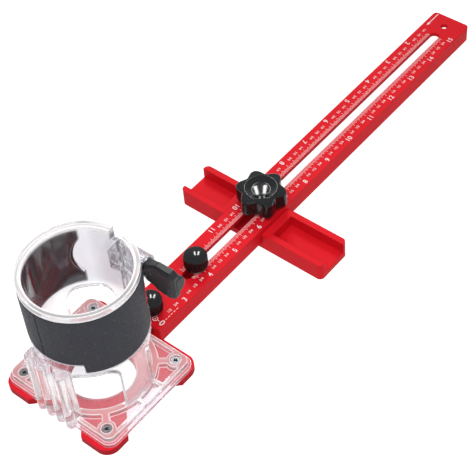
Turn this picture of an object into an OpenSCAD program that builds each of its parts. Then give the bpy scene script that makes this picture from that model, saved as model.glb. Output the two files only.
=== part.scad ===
// Router circle cutting jig: a clear router base on a red plate, with a slotted ruler arm and a cross fence.
// Millimetres, +Z up. The origin is the axis of the bit opening on the underside of the plate.
// +X runs along the arm, away from the router.

/* [Base plate] */
// Length of the plate along the arm
plate_l = 85; // [83:0.5:92]
// Width of the plate across the arm
plate_w = 90; // [86:0.5:98]
// Thickness of the plate and its tongue
plate_t = 5; // [4.5:0.5:8]
// Radius of the corners of the plate
plate_corner_r = 9; // [5:0.5:12]
// Width of each diagonal arm
arm_w = 28; // [24:1:34]
// Radius of the solid ring round the bit opening
hub_r = 27.5; // [25:0.5:32]
// Diameter of the bit opening
bit_hole_d = 43; // [32:1:46]
// Width of the tongue under the ruler
tongue_w = 23; // [22:0.5:25]
// Length of the tongue past the far stud
tongue_end = 9; // [6:0.5:12]
// Distance between the corner screws along the arm
screw_pitch_l = 63; // [62:0.5:63.5]
// Distance between the corner screws across the arm
screw_pitch_w = 70; // [69:0.5:71]

/* [Router base] */
// Distance of the foot inside the edges of the plate along the arm
foot_in_l = 3; // [1.5:0.1:3.2]
// Distance of the foot inside the edges of the plate across the arm
foot_in_w = 0.5; // [0:0.1:1.2]
// Radius of the corners of the foot
foot_corner_r = 7; // [6:0.5:10]
// Thickness of the floor of the foot
foot_t = 3; // [2:0.5:5]
// Height of the ribs above the floor of the foot
rib_h = 4; // [3:0.5:8]
// Thickness of the border and side ribs
rib_t = 2.4; // [1.6:0.2:3]
// Thickness of the ribs that run to the bosses
boss_rib_t = 4.4; // [2:0.2:5]
// Distance from the edge of the foot to its border rib
border_inset = 2; // [1:0.2:2.4]
// Radius of the bosses round the corner screws
boss_r = 5.8; // [5.2:0.1:6.6]
// Distance of the side ribs from the middle of each side
side_rib_x = 8; // [5:1:14]
// Turn of the side ribs about the collar axis
side_rib_turn = 6; // [0:1:10]
// Radius added round the bit opening by the foot
foot_hole_ease = 0.5; // [0:0.1:3]
// Bore of the collar
collar_bore_d = 65; // [63:0.5:66]
// Thickness of the wall of the collar
collar_wall = 4; // [3.6:0.1:4.4]
// Height of the collar above the plate
collar_h = 101; // [98:1:112]
// Depth of the step inside the rim
rim_step_h = 1.5; // [0.5:0.1:3]
// Width of the step inside the rim
rim_step_w = 1.2; // [0.5:0.1:1.8]
// Width of the four windows
window_w = 30; // [20:1:33]
// Height of the windows above the ribs
window_h = 38; // [25:1:39]
// Radius of the upper corners of the windows
window_corner_r = 8; // [3:0.5:9]
// Width of the guide block
guide_w = 32; // [24:1:36]
// Height of the guide block above the plate
guide_h = 50; // [30:1:54]
// Reach of the guide columns past the edge of the foot
guide_reach = 3; // [0.5:0.1:3.5]
// Number of columns on the guide block
guide_columns = 4; // [3:1:5]
// Gap between the columns
guide_gap = 0.6; // [0.3:0.1:2]

/* [Collar grip] */
// Thickness of the rubber pads
grip_t = 2; // [1.4:0.1:2.4]
// Height of the pads beside the seam
grip_h = 40; // [32:1:41]
// Height that the pads gain past the step
grip_step = 7.5; // [3:0.5:8]
// Height of the clear rim above the pads
grip_rim = 4.5; // [3.5:0.5:6]
// Angle from the seam to the step
grip_step_angle = 40; // [25:1:60]
// Angle from the seam to the end of each pad
grip_end_angle = 135; // [120:1:140]
// Radius of the bite in the end of each pad
grip_bite_r = 24; // [18:1:28]
// Depth of the bite as an angle round the collar
grip_bite_angle = 9; // [3:0.5:10]
// Width of the seam between the pads
seam_w = 0.6; // [0.3:0.1:1.5]

/* [Collar clamp] */
// Distance of the clamp screw from the collar axis
clamp_x = 41.5; // [41.5:0.5:45]
// Height of the clamp screw above the plate
clamp_h = 70; // [66:0.5:76]
// Radius of the clamp lugs
lug_r = 8; // [7.5:0.5:9.5]
// Thickness of each clamp lug
lug_t = 9.5; // [9:0.5:12]
// Width of the split in the collar
split_w = 3; // [2:0.5:5]
// Height of the foot of the split above the plate
split_h = 45; // [42:1:52]
// Width of the gap in the rim over the split
rim_gap_w = 10; // [6:0.5:14]
// Depth of the gap in the rim
rim_gap_h = 9; // [6:0.5:10]

/* [Wing knob] */
// Length of the knob along its screw
wing_l = 24.8; // [23:0.1:27]
// Thickness of the paddle in front of its screw
wing_front_t = 4.4; // [4.2:0.1:5]
// Thickness of the paddle behind its screw
wing_back_t = 2.4; // [2:0.1:3]
// Half of the height of the paddle
wing_r = 11.4; // [10.5:0.1:11.6]
// Half of the height of the paddle at its lug end
wing_neck_r = 5.6; // [5:0.1:6]
// Length over which the paddle widens from its lug end
wing_taper_l = 10.6; // [10:0.1:12]
// Length cut off the outer corners of the paddle
wing_corner = 2.6; // [1:0.1:4]
// Width of the bevel round the edges of the paddle
wing_bevel = 1.5; // [0.5:0.1:1.8]
// Radius of the hub behind the paddle
wing_hub_r = 6.2; // [5:0.1:6.4]
// Distance of the centre of the thumb dimple from the lug end
dimple_l = 12.4; // [12:0.1:13]
// Radius of the thumb dimple
dimple_r = 9.6; // [7:0.1:9.8]
// Depth of the thumb dimple
dimple_depth = 1; // [0.5:0.1:1.2]

/* [Ruler] */
// Width of the bar
bar_w = 30; // [28:0.5:36]
// Height of the bar
bar_t = 12; // [9:0.5:14]
// Thickness of the web of the bar, over its hollow underside
bar_web_t = 3; // [2.5:0.1:5]
// Thickness of the sides of the bar
bar_side_t = 5; // [4.5:0.1:6]
// Length of the bar
bar_l = 354.5; // [340:0.5:420]
// Gap between the foot and the near end of the bar
bar_gap = 0.6; // [0.3:0.1:3]
// Radius of the far corners of the bar
bar_corner_r = 3; // [1:0.5:6]
// Distance of the near end of the slot from the near end of the bar
slot_start = 41.5; // [30:0.5:44]
// Distance of the far end of the slot from the far end of the bar
slot_end_gap = 20.5; // [17:0.5:40]
// Width of the slot
slot_w = 7; // [6.5:0.1:8]
// Diameter of the hole near the far end
pivot_hole_d = 5; // [4:0.1:6]
// Distance of that hole from the far end
pivot_hole_in = 10.8; // [8:0.2:12]
// Distance of the near knob from the near end of the bar
near_knob_in = 9.5; // [7.5:0.5:14]
// Distance of the far knob from the near end of the bar
far_knob_in = 54; // [50:1:60]

/* [Knurled knobs] */
// Diameter of the knurled knobs
knob_d = 16; // [14.5:0.5:19]
// Height of the knurled skirt
knob_skirt_h = 7.5; // [5:0.5:10]
// Height of the domed top
knob_dome_h = 2.5; // [1.5:0.5:4]
// Height of the straight rim under the dome
knob_rim_h = 0.5; // [0.2:0.1:1]
// Height of the plain foot of the knob
knob_foot_h = 1; // [0.5:0.1:2]
// Number of ridges
knob_ridges = 36; // [20:1:48]
// Depth of the grooves between the ridges
knob_groove = 0.5; // [0.2:0.1:0.8]
// Diameter of the studs
stud_d = 5; // [4:0.1:6]
// Length of stud inside the knob
stud_grip = 6; // [4:0.5:7]

/* [Fence] */
// Distance of the fence screw from the collar axis at rest
fence_screw_x = 163; // [135:0.5:300]
// Distance of the fence screw from the near face of the fence
fence_screw_in = 20.5; // [10:0.5:21]
// Width of the fence along the arm
fence_w = 29; // [28:0.5:40]
// Reach of the fence to the left of the arm
fence_left = 55.5; // [40:0.5:120]
// Reach of the fence to the right of the arm
fence_right = 64.5; // [40:0.5:120]
// Height of the fence
fence_h = 13.5; // [10:0.5:16]
// Thickness of the walls of the fence
fence_wall = 4.5; // [3:0.5:5]
// Thickness of the blocks on either side of the bar
fence_block = 6; // [4:0.5:8]
// Radius of the outer corners of the fence
fence_corner_r = 3.5; // [1:0.5:5]

/* [Star knob] */
// Diameter over the lobes
star_d = 35; // [32:1:40]
// Depth of the hollows between the lobes
star_hollow = 4; // [2:0.5:4.5]
// Number of lobes
star_lobes = 6; // [5:1:8]
// Height of the lobes with their dome
star_h = 10.6; // [10.4:0.1:14]
// Angle that the first lobe is turned from the arm at rest
star_angle = -6; // [-30:1:30]
// Radius of the round dish on top
star_dish_r = 11; // [8:0.5:11.5]
// Radius of the floor of the dish
star_floor_r = 5; // [3:0.5:7]
// Depth of the dish
star_dish_h = 1.8; // [0.5:0.1:2]
// Radius of the dome
star_dome_r = 110; // [60:1:150]
// Diameter of the hub under the lobes
star_hub_d = 17; // [14:0.5:20]
// Height of the hub under the lobes
star_hub_h = 4; // [2:0.5:6]
// Radius of the brass insert
insert_r = 5; // [4.2:0.1:6]
// Length of the brass insert
insert_l = 10.4; // [9.4:0.1:10.8]

/* [Fasteners] */
// Diameter of the clamp screw and the fence bolt
bolt_d = 6; // [5:0.1:6]
// Width across the flats of their nut and head
bolt_flats = 10; // [8:0.5:11]
// Thickness of the clamp nut
nut_t = 5; // [3:0.5:6]
// Thickness of the head of the fence bolt
bolt_head_t = 3; // [2:0.2:3.2]
// Length of the fence bolt inside the star knob
bolt_grip = 8.4; // [7:0.1:8.6]
// Length of the clamp screw inside the wing knob
screw_grip = 6.5; // [5:0.5:7]
// Thickness of the washers
washer_t = 1.2; // [0.8:0.1:2]
// Radius of the washers under the knurled knobs
knob_washer_r = 7; // [6.4:0.1:7.2]
// Radius of the washer on the clamp screw
clamp_washer_r = 6.2; // [5.5:0.1:6.5]
// Radius of the washer on the fence bolt
bolt_washer_r = 8; // [7:0.1:8.4]
// Diameter of the corner screws
corner_d = 4; // [3:0.1:4.4]
// Radius of the heads of the corner screws
corner_head_r = 3.2; // [2.8:0.1:4]
// Height of the heads of the corner screws
corner_head_h = 2.4; // [1.6:0.1:3]
// Radius of the hexagon socket in the corner screws
corner_socket_r = 1.4; // [1:0.1:1.6]

/* [Fits] */
// Radial clearance of a thread or a moulded-in part
thread_fit = 0.05; // [0.02:0.01:0.1]
// Radial clearance of a plain hole
hole_fit = 0.3; // [0.2:0.05:0.45]
// Clearance between the fence and the bar
slide_fit = 0.3; // [0.1:0.05:0.5]
// Clearance round the rubber pads and the nut
seat_fit = 0.1; // [0.05:0.01:0.2]

/* [Hidden] */
$fn = 96;

// Colours
red = [0.80, 0.07, 0.11];
clear = [0.88, 0.91, 0.94, 0.45];
rubber = [0.20, 0.21, 0.23];
black = [0.09, 0.10, 0.11];
steel = [0.72, 0.73, 0.75];
brass = [0.80, 0.66, 0.35];

// A length that lets a cut run past the face it opens
past = 1;

// Base plate and foot
foot_l = plate_l - 2 * foot_in_l;
foot_w = plate_w - 2 * foot_in_w;
foot_rib_top = plate_t + foot_t + rib_h;
screw_x = screw_pitch_l / 2;
screw_y = screw_pitch_w / 2;
corner_seat = foot_rib_top - corner_head_h - past;
corner_reach = 0.6;
head_hole_r = corner_head_r + hole_fit;

// Collar and pads
collar_top = plate_t + collar_h;
bore_r = collar_bore_d / 2;
collar_r = bore_r + collar_wall;
grip_r = collar_r - grip_t;
grip_top = collar_top - grip_rim;
grip_low = grip_top - grip_h - grip_step;
window_r = window_w / 2;
guide_overlap = 3;

// Clamp
clamp_z = plate_t + clamp_h;
lug_end = split_w / 2 + lug_t;
bolt_r = bolt_d / 2;
hex_r = bolt_flats / 2 / cos(30);
wing_start = lug_end + washer_t;

// Ruler
bar_x0 = foot_l / 2 + bar_gap;
bar_x1 = bar_x0 + bar_l;
bar_top = plate_t + bar_t;
slot_r = slot_w / 2;
slot_x0 = bar_x0 + slot_start + slot_r;
slot_x1 = bar_x1 - slot_end_gap - slot_r;
near_knob_x = bar_x0 + near_knob_in;
far_knob_x = bar_x0 + far_knob_in;
knob_z = bar_top + washer_t;
stud_r = stud_d / 2;
stud_low = 0.5;

// Fence
fence_x = fence_screw_x - fence_screw_in;
fence_floor = plate_t - slide_fit / 3;
fence_notch = bar_w / 2 + slide_fit;
trough_y = fence_notch + fence_block;

// Points of a closed outline whose radius swings between two values a number of times a turn
function wave(r, swing, count, steps) = [
    for (i = [0 : steps - 1]) let (a = 360 * i / steps)
        (r - swing / 2 + swing / 2 * cos(count * a)) * [cos(a), sin(a)]
];

// Points of a closed outline with straight ridges
function ridged(r, groove, count) = [
    for (i = [0 : 2 * count - 1]) let (a = 180 * i / count)
        (r - (i % 2) * groove) * [cos(a), sin(a)]
];

// A rectangle with round corners, centred, standing on z = 0
module round_plate(l, w, h, r) {
    linear_extrude(h) {
        square([l - 2 * r, w], center = true);
        square([l, w - 2 * r], center = true);
        for (x = [-1, 1], y = [-1, 1])
            translate([x * (l / 2 - r), y * (w / 2 - r)]) circle(r);
    }
}

// A wedge round the Z axis between two angles, reaching past radius r
module wedge(r, h, from, to) {
    parts = ceil((to - from) / 30);
    reach = 1.2 * r;
    linear_extrude(h)
        polygon(concat(
            [[0, 0]],
            [for (i = [0 : parts]) let (a = from + (to - from) * i / parts) reach * [cos(a), sin(a)]]));
}

// A ring standing on z = 0
module ring(outer, inner, h) {
    difference() {
        cylinder(r = outer, h = h);
        translate([0, 0, -past]) cylinder(r = inner, h = h + 2 * past);
    }
}

// A cylinder along Y from y0 to y1, through the clamp screw's axis
module clamp_bar(r, y0, y1, sides = $fn) {
    translate([clamp_x, y0, clamp_z]) rotate([-90, 0, 0]) cylinder(r = r, h = y1 - y0, $fn = sides);
}

module corners() {
    for (x = [-1, 1], y = [-1, 1])
        translate([x * screw_x, y * screw_y, 0]) children();
}

module base_plate() {
    tongue_x = far_knob_x + tongue_end;
    tongue_round = tongue_w / 4;
    color(red) difference() {
        union() {
            intersection() {
                round_plate(plate_l, plate_w, plate_t, plate_corner_r);
                linear_extrude(plate_t) {
                    circle(hub_r);
                    for (a = [45, 135])
                        rotate(a) square([2 * plate_w, arm_w], center = true);
                    polygon([[0, 0], [plate_w, -plate_w], [plate_w, plate_w]]);
                }
            }
            linear_extrude(plate_t) {
                translate([hub_r, -tongue_w / 2])
                    square([tongue_x - tongue_round - hub_r, tongue_w]);
                translate([hub_r, -tongue_w / 2 + tongue_round])
                    square([tongue_x - hub_r, tongue_w - 2 * tongue_round]);
                for (y = [-1, 1])
                    translate([tongue_x - tongue_round, y * (tongue_w / 2 - tongue_round)])
                        circle(tongue_round);
            }
        }
        translate([0, 0, -past]) {
            cylinder(d = bit_hole_d, h = plate_t + 2 * past);
            corners() cylinder(r = corner_d / 2 + thread_fit, h = plate_t + 2 * past);
            for (x = [near_knob_x, far_knob_x])
                translate([x, 0, 0]) cylinder(r = stud_r + thread_fit, h = plate_t + 2 * past);
        }
    }
}

// Floor, border, bosses and ribs of the clear foot
module foot() {
    border_l = foot_l - 2 * border_inset;
    border_w = foot_w - 2 * border_inset;
    border_r = foot_corner_r - border_inset;
    boss_a = atan2(screw_y, screw_x);
    rib_reach = norm([screw_x, screw_y]) - (boss_r + head_hole_r) / 2;
    rib_top = foot_t + rib_h;
    translate([0, 0, plate_t]) {
        round_plate(foot_l, foot_w, foot_t, foot_corner_r);
        difference() {
            round_plate(border_l, border_w, rib_top, border_r);
            translate([0, 0, -past])
                round_plate(border_l - 2 * rib_t, border_w - 2 * rib_t, rib_top + 2 * past, border_r - rib_t);
        }
        corners() cylinder(r = boss_r, h = rib_top);
        for (a = [-boss_a, boss_a])
            rotate(a) translate([-rib_reach, -boss_rib_t / 2, 0]) cube([2 * rib_reach, boss_rib_t, rib_top]);
        intersection() {
            round_plate(border_l - rib_t, border_w - rib_t, rib_top, border_r - rib_t / 2);
            for (x = [-1, 1])
                rotate(side_rib_turn) translate([x * side_rib_x - rib_t / 2, -foot_w, -past])
                    cube([rib_t, 2 * foot_w, rib_top + 2 * past]);
        }
    }
}

// The block with upright round columns on the side away from the arm
module guide_block() {
    column_step = guide_w / guide_columns;
    column_r = (column_step - guide_gap) / 2;
    column_x = foot_l / 2 + guide_reach - column_r;
    translate([-column_x, -guide_w / 2, plate_t])
        cube([column_x - collar_r + guide_overlap, guide_w, guide_h]);
    for (i = [0 : guide_columns - 1])
        translate([-column_x, (i + 0.5) * column_step - guide_w / 2, plate_t])
            cylinder(r = column_r, h = guide_h);
}

// Two round lugs beside the split, joined to the collar
module lugs() {
    for (side = [0, 1]) mirror([0, side, 0]) {
        translate([clamp_x, lug_end, clamp_z]) rotate([90, 0, 0]) linear_extrude(lug_t) {
            circle(lug_r);
            translate([bore_r - collar_wall - clamp_x, -lug_r])
                square([clamp_x - bore_r + collar_wall, 2 * lug_r]);
        }
    }
}

// Outline of one pad on the +Y side, from just past the seam at -X to its end
module grip_shape(inner, outer, ease) {
    end = 180 - grip_end_angle + ease;
    seam_past = 190;
    bite_to = end + grip_bite_angle;
    difference() {
        intersection() {
            translate([0, 0, grip_low + ease]) ring(outer, inner, grip_top - grip_low - 2 * ease);
            translate([0, 0, grip_low]) wedge(outer, grip_top - grip_low, end, seam_past);
        }
        translate([0, 0, grip_low - past])
            wedge(outer + past, grip_step + past + ease, 180 - grip_step_angle - ease, seam_past + 10);
        translate([0, 0, (grip_low + grip_top) / 2])
            rotate([90, 0, bite_to - asin(grip_bite_r / collar_r) + 90])
                cylinder(r = grip_bite_r + ease, h = 2 * outer);
    }
}

// Four openings through the wall of the collar, on the diagonals, with round upper corners
module windows() {
    for (a = [45 : 90 : 315])
        rotate([90, 0, a + 90]) translate([0, foot_rib_top, bit_hole_d / 2])
            linear_extrude(collar_r) {
                translate([-window_r, 0]) square([window_w, window_h - window_corner_r]);
                translate([-window_r + window_corner_r, 0])
                    square([window_w - 2 * window_corner_r, window_h]);
                for (x = [-1, 1])
                    translate([x * (window_r - window_corner_r), window_h - window_corner_r])
                        circle(window_corner_r);
            }
}

module router_base() {
    color(clear) difference() {
        union() {
            foot();
            difference() {
                translate([0, 0, plate_t]) cylinder(r = collar_r, h = collar_h);
                windows();
            }
            guide_block();
            lugs();
        }
        // bore, its opening in the floor and the step inside the rim
        translate([0, 0, plate_t + foot_t]) cylinder(r = bore_r, h = collar_h);
        translate([0, 0, plate_t - past])
            cylinder(r = bit_hole_d / 2 + foot_hole_ease, h = foot_t + 2 * past);
        translate([0, 0, collar_top - rim_step_h]) cylinder(r = bore_r + rim_step_w, h = rim_step_h + past);
        // recesses for the pads
        grip_shape(grip_r, collar_r + past, 0);
        mirror([0, 1, 0]) grip_shape(grip_r, collar_r + past, 0);
        // split, and the wider gap over it in the rim
        translate([bit_hole_d / 2, -split_w / 2, plate_t + split_h]) cube([2 * clamp_x, split_w, collar_h]);
        translate([bit_hole_d / 2, -rim_gap_w / 2, collar_top - rim_gap_h])
            cube([collar_r, rim_gap_w, rim_gap_h + past]);
        // clamp screw and its nut
        clamp_bar(bolt_r + hole_fit, -lug_end - past, lug_end + past);
        clamp_bar(hex_r + seat_fit, lug_end - nut_t - seat_fit, lug_end + past, 6);
        // corner screws
        corners() {
            cylinder(r = corner_d / 2 + hole_fit, h = foot_rib_top + past);
            translate([0, 0, corner_seat]) cylinder(r = head_hole_r, h = corner_head_h + 2 * past);
        }
    }
}

module grip_pad() {
    color(rubber) difference() {
        grip_shape(grip_r + seat_fit, collar_r, seat_fit);
        translate([-2 * collar_r, -collar_r, 0]) cube([2 * collar_r, collar_r + seam_w / 2, 2 * collar_top]);
    }
}

module grip_left() {
    grip_pad();
}

module grip_right() {
    mirror([0, 1, 0]) grip_pad();
}

module corner_screws() {
    color(steel) corners() difference() {
        union() {
            translate([0, 0, corner_reach]) cylinder(d = corner_d, h = corner_seat - corner_reach + past);
            translate([0, 0, corner_seat]) cylinder(r = corner_head_r, h = corner_head_h);
        }
        translate([0, 0, corner_seat + corner_head_h / 2])
            cylinder(r = corner_socket_r, h = corner_head_h, $fn = 6);
    }
}

// Outline of the paddle of the wing knob, with its height along X and its length along Y
module wing_outline() {
    cut_l = wing_l - wing_corner;
    cut_r = wing_r - wing_corner;
    polygon([
        [-wing_neck_r, 0], [wing_neck_r, 0], [wing_r, wing_taper_l], [wing_r, cut_l],
        [cut_r, wing_l], [-cut_r, wing_l], [-wing_r, cut_l], [-wing_r, wing_taper_l]
    ]);
}

// The wing knob lies along local +Y from its lug end, with its bevelled paddle upright, a dimple in its front and a
// round hub at its back
module wing_knob() {
    dimple_ball = (dimple_r * dimple_r + dimple_depth * dimple_depth) / (2 * dimple_depth);
    color(black) translate([clamp_x, -wing_start, clamp_z]) rotate([0, 0, 180]) difference() {
        union() {
            hull() for (inset = [0, wing_bevel]) {
                back = wing_bevel - inset;
                translate([wing_front_t - back, 0, 0]) rotate([0, -90, 0])
                    linear_extrude(wing_front_t + wing_back_t - 2 * back) offset(delta = -inset) wing_outline();
            }
            intersection() {
                rotate([-90, 0, 0]) cylinder(r = wing_hub_r, h = wing_l);
                translate([-2 * wing_hub_r, -past, -wing_hub_r])
                    cube([2 * wing_hub_r, wing_l + 2 * past, 2 * wing_hub_r]);
            }
        }
        rotate([-90, 0, 0]) translate([0, 0, -past]) cylinder(r = bolt_r + thread_fit, h = screw_grip + past);
        translate([wing_front_t + dimple_ball - dimple_depth, dimple_l, 0]) sphere(dimple_ball);
    }
}

module wing_screw() {
    color(steel) clamp_bar(bolt_r, -wing_start - screw_grip + past, lug_end + past);
}

module clamp_washer() {
    color(steel) difference() {
        clamp_bar(clamp_washer_r, -wing_start, -lug_end);
        clamp_bar(bolt_r + hole_fit, -wing_start - past, -lug_end + past);
    }
}

module clamp_nut() {
    color(steel) difference() {
        clamp_bar(hex_r, lug_end - nut_t, lug_end, 6);
        clamp_bar(bolt_r + thread_fit, lug_end - nut_t - past, lug_end + past);
    }
}

module ruler_bar() {
    color(red) difference() {
        translate([0, 0, plate_t]) linear_extrude(bar_t) {
            translate([bar_x0, -bar_w / 2]) square([bar_l - bar_corner_r, bar_w]);
            translate([bar_x0, -bar_w / 2 + bar_corner_r]) square([bar_l, bar_w - 2 * bar_corner_r]);
            for (y = [-1, 1])
                translate([bar_x1 - bar_corner_r, y * (bar_w / 2 - bar_corner_r)]) circle(bar_corner_r);
        }
        // slot
        translate([0, 0, plate_t - past]) linear_extrude(bar_t + 2 * past) {
            translate([slot_x0, -slot_r]) square([slot_x1 - slot_x0, slot_w]);
            for (x = [slot_x0, slot_x1]) translate([x, 0]) circle(slot_r);
        }
        // hollow underside
        translate([bar_x0 - past, bar_side_t - bar_w / 2, plate_t - past])
            cube([bar_l + 2 * past, bar_w - 2 * bar_side_t, bar_t - bar_web_t + past]);
        translate([0, 0, plate_t - past]) {
            translate([near_knob_x, 0, 0]) cylinder(r = stud_r + hole_fit, h = bar_t + 2 * past);
            translate([bar_x1 - pivot_hole_in, 0, 0]) cylinder(d = pivot_hole_d, h = bar_t + 2 * past);
        }
    }
}

// A knurled knob standing on z = 0, with a blind hole for its stud
module knurled_knob() {
    r = knob_d / 2;
    crown = r - 2 * knob_groove;
    cap_h = knob_dome_h - knob_rim_h;
    dome_r = (crown * crown + cap_h * cap_h) / (2 * cap_h);
    rise = knob_foot_h + knob_skirt_h + knob_dome_h;
    color(black) difference() {
        union() {
            cylinder(r = crown, h = knob_foot_h + past);
            translate([0, 0, knob_foot_h])
                linear_extrude(knob_skirt_h) polygon(ridged(r, knob_groove, knob_ridges));
            intersection() {
                translate([0, 0, rise - dome_r]) sphere(dome_r);
                translate([0, 0, knob_foot_h]) cylinder(r = crown, h = rise);
            }
        }
        translate([0, 0, -past]) cylinder(r = stud_r + thread_fit, h = stud_grip + past);
    }
}

module knob_stud() {
    color(steel) translate([0, 0, stud_low]) cylinder(r = stud_r, h = knob_z + stud_grip - stud_low);
}

module knob_washer() {
    color(steel) translate([0, 0, bar_top]) ring(knob_washer_r, stud_r + hole_fit, washer_t);
}

module near_knob() {
    translate([near_knob_x, 0, knob_z]) knurled_knob();
}

module near_stud() {
    translate([near_knob_x, 0, 0]) knob_stud();
}

module near_washer() {
    translate([near_knob_x, 0, 0]) knob_washer();
}

module far_knob() {
    translate([far_knob_x, 0, knob_z]) knurled_knob();
}

module far_stud() {
    translate([far_knob_x, 0, 0]) knob_stud();
}

module far_washer() {
    translate([far_knob_x, 0, 0]) knob_washer();
}

module fence() {
    r = fence_corner_r;
    l = fence_left + fence_right;
    inside = fence_w - 2 * fence_wall;
    color(red) difference() {
        translate([fence_x, -fence_right, 0]) linear_extrude(fence_h) {
            translate([r, 0]) square([fence_w - 2 * r, l]);
            translate([0, r]) square([fence_w, l - 2 * r]);
            for (x = [r, fence_w - r], y = [r, l - r]) translate([x, y]) circle(r);
        }
        // troughs, and the notch that the bar lies in
        translate([fence_x + fence_wall, -fence_right - past, fence_floor])
            cube([inside, fence_right - trough_y + past, fence_h]);
        translate([fence_x + fence_wall, trough_y, fence_floor])
            cube([inside, fence_left - trough_y + past, fence_h]);
        translate([fence_x - past, -fence_notch, fence_floor])
            cube([fence_w + 2 * past, 2 * fence_notch, fence_h]);
        translate([fence_screw_x, 0, -past]) {
            cylinder(r = bolt_r + hole_fit, h = plate_t + 2 * past);
            cylinder(r = hex_r + seat_fit, h = bolt_head_t + seat_fit + past, $fn = 6);
        }
    }
}

module fence_bolt() {
    color(steel) translate([fence_screw_x, 0, 0]) {
        cylinder(r = hex_r, h = bolt_head_t, $fn = 6);
        cylinder(r = bolt_r, h = knob_z + bolt_grip);
    }
}

module star_knob() {
    rise = star_hub_h + star_h;
    outline = wave(star_d / 2, star_hollow, star_lobes, 24 * star_lobes);
    lip = rise - star_dome_r + sqrt(star_dome_r * star_dome_r - star_dish_r * star_dish_r);
    flare = past * (star_dish_r - star_floor_r) / star_dish_h;
    color(black) translate([fence_screw_x, 0, knob_z]) difference() {
        union() {
            cylinder(d = star_hub_d, h = star_hub_h + past);
            intersection() {
                rotate(star_angle) translate([0, 0, star_hub_h]) linear_extrude(star_h) polygon(outline);
                translate([0, 0, rise - star_dome_r]) sphere(star_dome_r);
            }
        }
        translate([0, 0, -past]) cylinder(r = insert_r + thread_fit, h = insert_l + past);
        translate([0, 0, lip - star_dish_h])
            cylinder(r1 = star_floor_r, r2 = star_dish_r + flare, h = star_dish_h + past);
    }
}

module star_insert() {
    color(brass) translate([fence_screw_x, 0, knob_z]) difference() {
        cylinder(r = insert_r, h = insert_l);
        translate([0, 0, -past]) cylinder(r = bolt_r + thread_fit, h = (insert_l + bolt_grip) / 2 + past);
    }
}

module star_washer() {
    color(steel) translate([fence_screw_x, 0, bar_top]) ring(bolt_washer_r, bolt_r + hole_fit, washer_t);
}

base_plate();
router_base();
grip_left();
grip_right();
corner_screws();
wing_knob();
wing_screw();
clamp_washer();
clamp_nut();
ruler_bar();
near_knob();
near_stud();
near_washer();
far_knob();
far_stud();
far_washer();
fence();
fence_bolt();
star_knob();
star_insert();
star_washer();
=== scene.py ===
"""Looks of a router circle cutting jig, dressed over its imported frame.

Lengths are in millimetres, or in metres where a name ends in _m, in the frame of the part: +Z up, +X along
the ruler arm, and the origin on the axis of the bit opening at the underside of the plate. Meshes are written
in metres.
"""

import logging
import math
from dataclasses import dataclass
from enum import Enum

import bmesh
import bpy
import numpy as np
from mathutils import Matrix, Vector


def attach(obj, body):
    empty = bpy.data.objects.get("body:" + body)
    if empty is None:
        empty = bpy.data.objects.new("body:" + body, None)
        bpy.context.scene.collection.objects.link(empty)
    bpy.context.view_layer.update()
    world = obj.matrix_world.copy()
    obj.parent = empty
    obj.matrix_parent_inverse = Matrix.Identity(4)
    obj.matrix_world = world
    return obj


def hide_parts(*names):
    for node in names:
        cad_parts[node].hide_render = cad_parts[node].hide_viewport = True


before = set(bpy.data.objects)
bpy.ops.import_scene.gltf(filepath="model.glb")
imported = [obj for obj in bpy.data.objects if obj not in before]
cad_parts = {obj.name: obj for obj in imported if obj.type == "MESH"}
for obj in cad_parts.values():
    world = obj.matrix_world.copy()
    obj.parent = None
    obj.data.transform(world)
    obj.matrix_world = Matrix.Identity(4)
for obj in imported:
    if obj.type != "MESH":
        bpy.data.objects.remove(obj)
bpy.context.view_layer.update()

Colour = tuple[float, float, float]
Place = tuple[float, float, float]
Pair = tuple[float, float]
Steps = tuple[Pair, ...]
Material = bpy.types.Material
Piece = bpy.types.Object
Socket = bpy.types.NodeSocket

MM = 0.001
INCH = 25.4
FULL_TURN = 2.0 * math.pi
UNIT = (0.0, 1.0)
WHITE = (1.0, 1.0, 1.0, 1.0)
KNURLED_X = {"near": 49.6, "far": 94.1}
MERGE_M = 2e-6
FLAT_M = 1e-7
LOG = logging.getLogger("circle_jig")


class Slot(Enum):
    """The record's material slots."""

    RED = "red_aluminium"
    GRIP = "grip_rubber"
    BLACK = "black_plastic"


class LampRole(Enum):
    """What a studio lamp is for: light on surfaces, shine in reflections, or both."""

    LIGHT = "light"
    SHINE = "shine"
    BOTH = "both"


class Side(Enum):
    """The two long sides of the ruler, as the sign of Y."""

    LEFT = 1.0
    RIGHT = -1.0


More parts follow.
